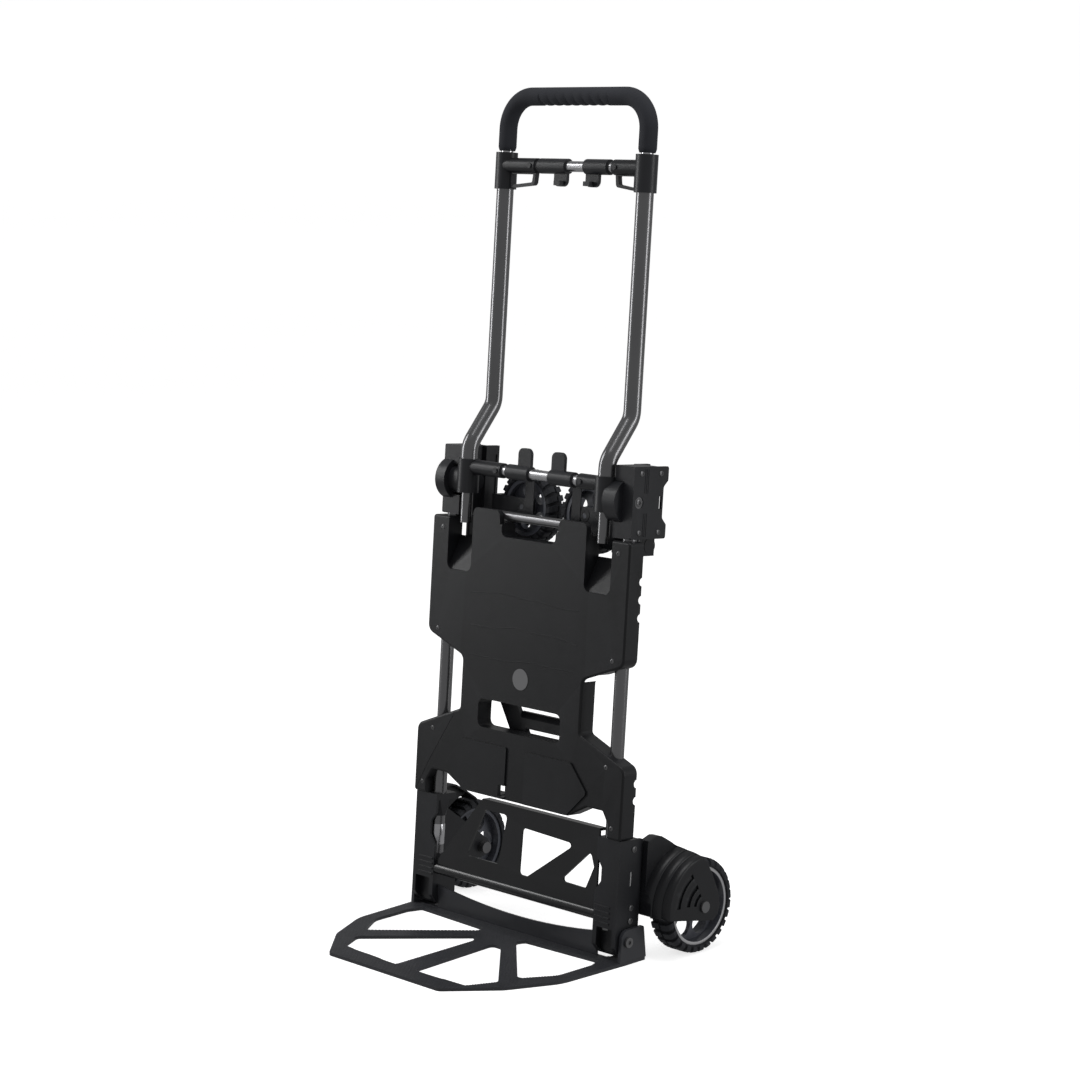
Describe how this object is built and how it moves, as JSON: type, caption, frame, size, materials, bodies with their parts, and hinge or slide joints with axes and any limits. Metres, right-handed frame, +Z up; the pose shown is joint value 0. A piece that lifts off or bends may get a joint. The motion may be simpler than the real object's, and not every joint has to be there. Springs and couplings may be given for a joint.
{
  "type": "folding luggage cart",
  "caption": "Folding hand truck with an open hinged toe plate, moulded deck, telescopic folding handle, fold-in rear wheels and stowed front casters.",
  "frame": {"origin": "centre of the footprint's bounding box, on the floor", "axes": "+Z up, -Y the way the toe plate points, +X to the right of someone who faces the deck from the toe plate's side"},
  "size_m": [0.473, 0.4084, 1.1039],
  "materials": {
    "deck_plastic": "moulded black polypropylene, fine leather-like grain",
    "housing_plastic": "moulded black nylon, satin",
    "screw_steel": "black oxide screws",
    "emblem_print": "plain grey disc",
    "web_metal": "semi-gloss black powder coat",
    "rod_steel": "grey painted steel rod",
    "bright_steel": "plated steel tube",
    "toe_paint": "textured black powder coat with fine grooves",
    "grip_foam": "closed-cell foam rubber",
    "handle_paint": "dark grey metallic paint, gloss",
    "arm_paint": "black powder coat",
    "tyre": "solid rubber with block tread",
    "rim_plastic": "dark grey nylon rim"
  },
  "bodies": {
    "frame": {"deck_panel": "deck_plastic", "corner_cover": "deck_plastic", "panel_screws": "screw_steel", "emblem_disc": "emblem_print", "web_plate": "web_metal", "window_bracket": "housing_plastic", "top_bar": "rod_steel", "side_screws": "screw_steel", "pivot_pins": "screw_steel", "wheel_hinge_pins": "bright_steel", "toe_hinge_bolts": "screw_steel", "post_bushes": "housing_plastic", "frame_tube_left": "handle_paint", "frame_tube_right": "handle_paint", "post_left": "housing_plastic", "post_right": "housing_plastic", "block_left": "housing_plastic", "block_right": "housing_plastic", "block_cover_left": "housing_plastic", "block_cover_right": "housing_plastic"},
    "toe": {"toe_plate": "toe_paint", "toe_bracket_left": "toe_paint", "toe_bracket_right": "toe_paint"},
    "handle": {"upper_rod": "bright_steel", "lower_rod": "bright_steel", "handle_rivets": "housing_plastic", "handle_stubs": "handle_paint", "handle_tube_left": "handle_paint", "handle_tube_right": "handle_paint", "upper_sleeve_left": "housing_plastic", "upper_sleeve_right": "housing_plastic", "lower_sleeve_left": "housing_plastic", "lower_sleeve_right": "housing_plastic"},
    "grip": {"grip_tube": "bright_steel", "grip_foam": "grip_foam"},
    "upper_hook_left": {"upper_hook_left": "housing_plastic"},
    "lower_hook_left": {"lower_hook_left": "housing_plastic"},
    "rear_arm_left": {"rear_arm_left": "arm_paint", "rear_cover_left": "housing_plastic", "rear_axle_left": "screw_steel"},
    "rear_wheel_left": {"rear_tyre_left": "tyre", "rear_rim_left": "rim_plastic"},
    "front_arm_left": {"front_arm_left": "arm_paint"},
    "front_fork_left": {"front_fork_left": "arm_paint"},
    "front_wheel_left": {"front_tyre_left": "tyre", "front_rim_left": "rim_plastic"},
    "upper_hook_right": {"upper_hook_right": "housing_plastic"},
    "lower_hook_right": {"lower_hook_right": "housing_plastic"},
    "rear_arm_right": {"rear_arm_right": "arm_paint", "rear_cover_right": "housing_plastic", "rear_axle_right": "screw_steel"},
    "rear_wheel_right": {"rear_tyre_right": "tyre", "rear_rim_right": "rim_plastic"},
    "front_arm_right": {"front_arm_right": "arm_paint"},
    "front_fork_right": {"front_fork_right": "arm_paint"},
    "front_wheel_right": {"front_tyre_right": "tyre", "front_rim_right": "rim_plastic"}
  },
  "joints": [
    {"name": "handle_fold", "type": "hinge", "parent": "frame", "child": "handle", "pos_m": [0, 0.0796, 0.58706], "axis": [1, 0, 0], "range_deg": [0, 177]},
    {"name": "grip_slide", "type": "slide", "parent": "handle", "child": "grip", "axis": [0, 0.0778, 0.997], "range_m": [0, 0.18]},
    {"name": "toe_fold", "type": "hinge", "parent": "frame", "child": "toe", "pos_m": [0, 0.03755, 0.03], "axis": [-1, 0, 0], "range_deg": [0, 94.4]},
    {"name": "upper_hook_turn_left", "type": "hinge", "parent": "handle", "child": "upper_hook_left", "pos_m": [-0.0325, 0.13708, 1.00245], "axis": [1, 0, 0], "range_deg": [-90, 90]},
    {"name": "lower_hook_turn_left", "type": "hinge", "parent": "handle", "child": "lower_hook_left", "pos_m": [-0.029, 0.06964, 0.60719], "axis": [1, 0, 0], "range_deg": [-177, 0]},
    {"name": "rear_arm_fold_left", "type": "hinge", "parent": "frame", "child": "rear_arm_left", "pos_m": [-0.176, 0.05542, 0.09705], "axis": [0, -0.0778, -0.997], "range_deg": [0, 90.1]},
    {"name": "rear_wheel_spin_left", "type": "hinge", "parent": "rear_arm_left", "child": "rear_wheel_left", "pos_m": [-0.21, 0.14175, 0.0625], "axis": [1, 0, 0], "continuous": true},
    {"name": "front_arm_fold_left", "type": "hinge", "parent": "frame", "child": "front_arm_left", "pos_m": [-0.148, 0.09813, 0.52503], "axis": [0, 0.0778, 0.997], "range_deg": [0, 90]},
    {"name": "front_fork_swivel_left", "type": "hinge", "parent": "front_arm_left", "child": "front_fork_left", "pos_m": [-0.13, 0.11651, 0.5266], "axis": [-1, 0, 0], "range_deg": [0, 180]},
    {"name": "front_wheel_spin_left", "type": "hinge", "parent": "front_fork_left", "child": "front_wheel_left", "pos_m": [-0.057, 0.11869, 0.55452], "axis": [0, 0.997, -0.0778], "continuous": true},
    {"name": "upper_hook_turn_right", "type": "hinge", "parent": "handle", "child": "upper_hook_right", "pos_m": [0.0465, 0.13708, 1.00245], "axis": [1, 0, 0], "range_deg": [-90, 90]},
    {"name": "lower_hook_turn_right", "type": "hinge", "parent": "handle", "child": "lower_hook_right", "pos_m": [0.0495, 0.06964, 0.60719], "axis": [1, 0, 0], "range_deg": [-177, 0]},
    {"name": "rear_arm_fold_right", "type": "hinge", "parent": "frame", "child": "rear_arm_right", "pos_m": [0.176, 0.05542, 0.09705], "axis": [0, 0.0778, 0.997], "range_deg": [0, 90.1]},
    {"name": "rear_wheel_spin_right", "type": "hinge", "parent": "rear_arm_right", "child": "rear_wheel_right", "pos_m": [0.21, 0.14175, 0.0625], "axis": [1, 0, 0], "continuous": true},
    {"name": "front_arm_fold_right", "type": "hinge", "parent": "frame", "child": "front_arm_right", "pos_m": [0.148, 0.09813, 0.52503], "axis": [0, -0.0778, -0.997], "range_deg": [0, 90]},
    {"name": "front_fork_swivel_right", "type": "hinge", "parent": "front_arm_right", "child": "front_fork_right", "pos_m": [0.13, 0.11651, 0.5266], "axis": [-1, 0, 0], "range_deg": [0, 180]},
    {"name": "front_wheel_spin_right", "type": "hinge", "parent": "front_fork_right", "child": "front_wheel_right", "pos_m": [0.057, 0.11869, 0.55452], "axis": [0, 0.997, -0.0778], "continuous": true}
  ],
  "couplings": [
    {"joint": "lower_hook_turn_left", "follows": "handle_fold", "ratio": -1},
    {"joint": "rear_arm_fold_left", "follows": "toe_fold", "ratio": 0.95339},
    {"joint": "lower_hook_turn_right", "follows": "handle_fold", "ratio": -1},
    {"joint": "rear_arm_fold_right", "follows": "toe_fold", "ratio": 0.95339}
  ]
}
